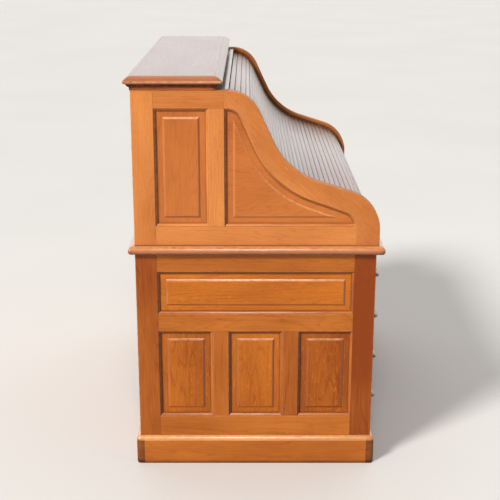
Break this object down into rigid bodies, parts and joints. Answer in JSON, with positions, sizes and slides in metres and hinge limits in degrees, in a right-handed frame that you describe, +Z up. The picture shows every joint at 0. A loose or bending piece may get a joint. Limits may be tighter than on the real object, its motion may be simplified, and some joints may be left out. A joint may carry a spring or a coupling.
{
  "type": "roll top desk",
  "caption": "Oak roll top desk: S-curved slatted tambour, framed and fielded side panels, two drawer pedestals and a fitted pigeonhole interior.",
  "frame": {"origin": "middle of the desk's footprint, on the floor", "axes": "+X along the width, to the right of a person sitting at it; the front faces -Y; +Z up"},
  "size_m": [1.364, 0.839, 1.318],
  "materials": {
    "upper_oak": "golden oak, waxed satin",
    "lower_oak": "darker red-brown oak, waxed satin",
    "slat_oak": "oak slats, waxed, with a soft sheen",
    "interior_oak": "plain oak, matt",
    "pull_oak": "dark stained oak, polished",
    "brass": "aged brass"
  },
  "bodies": {
    "case": {"centre_drawer_frame": "lower_oak", "cornice": "upper_oak", "drawer_carcass_left": "interior_oak", "drawer_carcass_right": "interior_oak", "front_rail": "slat_oak", "inner_side_left": "lower_oak", "inner_side_right": "lower_oak", "lower_back": "lower_oak", "lower_panel_left_back": "lower_oak", "lower_panel_left_front": "lower_oak", "lower_panel_left_middle": "lower_oak", "lower_panel_left_top": "lower_oak", "lower_panel_right_back": "lower_oak", "lower_panel_right_front": "lower_oak", "lower_panel_right_middle": "lower_oak", "lower_panel_right_top": "lower_oak", "lower_side_frame_left": "lower_oak", "lower_side_frame_right": "lower_oak", "pigeonhole_case": "interior_oak", "plinth_left": "lower_oak", "plinth_right": "lower_oak", "top_board": "upper_oak", "upper_back": "upper_oak", "upper_panel_left_back": "upper_oak", "upper_panel_left_front": "upper_oak", "upper_panel_right_back": "upper_oak", "upper_panel_right_front": "upper_oak", "upper_side_frame_left": "upper_oak", "upper_side_frame_right": "upper_oak", "writing_top": "upper_oak"},
    "drawer_left_1": {"drawer_left_1": "lower_oak", "pull_left_1": "pull_oak"},
    "drawer_left_2": {"drawer_left_2": "lower_oak", "pull_left_2": "pull_oak"},
    "drawer_left_3": {"drawer_left_3": "lower_oak", "pull_left_3": "pull_oak"},
    "drawer_left_4": {"drawer_left_4": "lower_oak", "pull_left_4": "pull_oak"},
    "drawer_right_1": {"drawer_right_1": "lower_oak", "pull_right_1": "pull_oak"},
    "drawer_right_2": {"drawer_right_2": "lower_oak", "pull_right_2": "pull_oak"},
    "drawer_right_3": {"drawer_right_3": "lower_oak", "pull_right_3": "pull_oak"},
    "drawer_right_4": {"drawer_right_4": "lower_oak", "pull_right_4": "pull_oak"},
    "centre_drawer": {"centre_drawer": "lower_oak"},
    "stationery_drawer_left": {"stationery_drawer_left": "interior_oak"},
    "stationery_drawer_right": {"stationery_drawer_right": "interior_oak"},
    "tambour_1": {"tambour_section_1": "slat_oak"},
    "tambour_2": {"tambour_section_2": "slat_oak"},
    "tambour_3": {"tambour_section_3": "slat_oak"},
    "tambour_4": {"tambour_section_4": "slat_oak"},
    "tambour_5": {"tambour_section_5": "slat_oak"},
    "tambour_6": {"tambour_section_6": "slat_oak"},
    "tambour_7": {"tambour_section_7": "slat_oak"},
    "tambour_8": {"tambour_section_8": "slat_oak"},
    "tambour_9": {"tambour_section_9": "slat_oak"},
    "lift_rail": {"lift_rail": "upper_oak", "lock_plate": "brass"}
  },
  "joints": [
    {"name": "tambour_roll", "type": "hinge", "parent": "case", "child": "tambour_5", "pos_m": [0, 0.10691, 0.94305], "axis": [-1, 0, 0], "range_deg": [0, 117.08]},
    {"name": "tambour_bend_4", "type": "hinge", "parent": "tambour_5", "child": "tambour_4", "pos_m": [0, -0.13657, 0.97613], "axis": [-1, 0, 0], "range_deg": [-41.04, 0]},
    {"name": "tambour_bend_3", "type": "hinge", "parent": "tambour_4", "child": "tambour_3", "pos_m": [0, -0.2042, 0.94856], "axis": [-1, 0, 0], "range_deg": [-30.79, 0]},
    {"name": "tambour_bend_2", "type": "hinge", "parent": "tambour_3", "child": "tambour_2", "pos_m": [0, -0.27397, 0.92643], "axis": [-1, 0, 0], "range_deg": [-17.15, 0]},
    {"name": "tambour_bend_1", "type": "hinge", "parent": "tambour_2", "child": "tambour_1", "pos_m": [0, -0.3378, 0.89284], "axis": [-1, 0, 0], "range_deg": [-4.35, 0]},
    {"name": "lift_rail_bend", "type": "hinge", "parent": "tambour_1", "child": "lift_rail", "pos_m": [0, -0.364, 0.8263], "axis": [-1, 0, 0], "range_deg": [0, 1.14]},
    {"name": "tambour_bend_6", "type": "hinge", "parent": "tambour_5", "child": "tambour_6", "pos_m": [0, -0.07844, 1.02025], "axis": [-1, 0, 0], "range_deg": [0, 25.53]},
    {"name": "tambour_bend_7", "type": "hinge", "parent": "tambour_6", "child": "tambour_7", "pos_m": [0, -0.03413, 1.07823], "axis": [-1, 0, 0], "range_deg": [0, 11.75]},
    {"name": "tambour_bend_8", "type": "hinge", "parent": "tambour_7", "child": "tambour_8", "pos_m": [0, -0.00246, 1.14421], "axis": [-1, 0, 0], "range_deg": [-0.758, 0]},
    {"name": "tambour_bend_9", "type": "hinge", "parent": "tambour_8", "child": "tambour_9", "pos_m": [0, 0.03003, 1.20968], "axis": [-1, 0, 0], "range_deg": [-36.46, 0]},
    {"name": "drawer_left_1_slide", "type": "slide", "parent": "case", "child": "drawer_left_1", "axis": [0, -1, 0], "range_m": [0, 0.5]},
    {"name": "drawer_left_2_slide", "type": "slide", "parent": "case", "child": "drawer_left_2", "axis": [0, -1, 0], "range_m": [0, 0.5]},
    {"name": "drawer_left_3_slide", "type": "slide", "parent": "case", "child": "drawer_left_3", "axis": [0, -1, 0], "range_m": [0, 0.5]},
    {"name": "drawer_left_4_slide", "type": "slide", "parent": "case", "child": "drawer_left_4", "axis": [0, -1, 0], "range_m": [0, 0.5]},
    {"name": "drawer_right_1_slide", "type": "slide", "parent": "case", "child": "drawer_right_1", "axis": [0, -1, 0], "range_m": [0, 0.5]},
    {"name": "drawer_right_2_slide", "type": "slide", "parent": "case", "child": "drawer_right_2", "axis": [0, -1, 0], "range_m": [0, 0.5]},
    {"name": "drawer_right_3_slide", "type": "slide", "parent": "case", "child": "drawer_right_3", "axis": [0, -1, 0], "range_m": [0, 0.5]},
    {"name": "drawer_right_4_slide", "type": "slide", "parent": "case", "child": "drawer_right_4", "axis": [0, -1, 0], "range_m": [0, 0.5]},
    {"name": "centre_drawer_slide", "type": "slide", "parent": "case", "child": "centre_drawer", "axis": [0, -1, 0], "range_m": [0, 0.3]},
    {"name": "stationery_drawer_left_slide", "type": "slide", "parent": "case", "child": "stationery_drawer_left", "axis": [0, -1, 0], "range_m": [0, 0.15]},
    {"name": "stationery_drawer_right_slide", "type": "slide", "parent": "case", "child": "stationery_drawer_right", "axis": [0, -1, 0], "range_m": [0, 0.15]}
  ],
  "couplings": [
    {"joint": "tambour_bend_4", "follows": "tambour_roll", "ratio": -0.35048},
    {"joint": "tambour_bend_3", "follows": "tambour_roll", "ratio": -0.26299},
    {"joint": "tambour_bend_2", "follows": "tambour_roll", "ratio": -0.14644},
    {"joint": "tambour_bend_1", "follows": "tambour_roll", "ratio": -0.037107},
    {"joint": "lift_rail_bend", "follows": "tambour_roll", "ratio": 0.009694},
    {"joint": "tambour_bend_6", "follows": "tambour_roll", "ratio": 0.21805},
    {"joint": "tambour_bend_7", "follows": "tambour_roll", "ratio": 0.10032},
    {"joint": "tambour_bend_8", "follows": "tambour_roll", "ratio": -0.006464},
    {"joint": "tambour_bend_9", "follows": "tambour_roll", "ratio": -0.31143}
  ]
}
